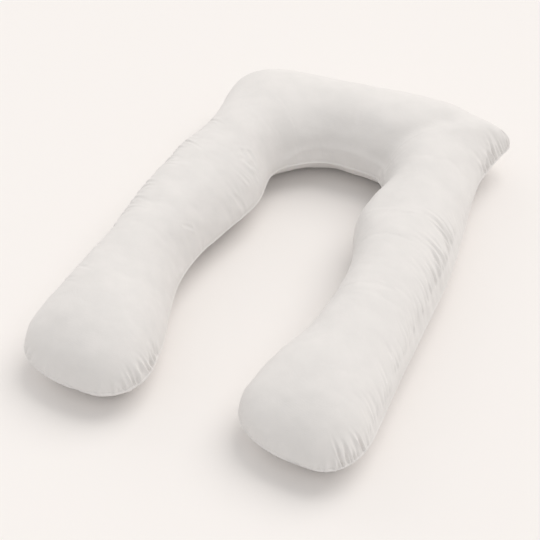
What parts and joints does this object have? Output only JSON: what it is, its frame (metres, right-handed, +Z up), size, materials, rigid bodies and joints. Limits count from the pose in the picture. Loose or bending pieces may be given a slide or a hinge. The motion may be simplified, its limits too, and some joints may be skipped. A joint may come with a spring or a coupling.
{
  "type": "u-shaped body pillow",
  "caption": "U-shaped body pillow: full rounded legs joined by a curved bar, filled, with off-white cotton top and bottom panels sewn together along a perimeter seam.",
  "frame": {"origin": "on the surface the pillow lies on, under the middle of its outline", "axes": "+Z up, +Y along the legs towards the bar that joins them, +X to the right"},
  "size_m": [0.802, 1.1824, 0.1889],
  "materials": {
    "cotton": "matt off-white cotton, fine plain weave"
  },
  "bodies": {
    "root": {"pillow": "cotton"}
  },
  "joints": []
}
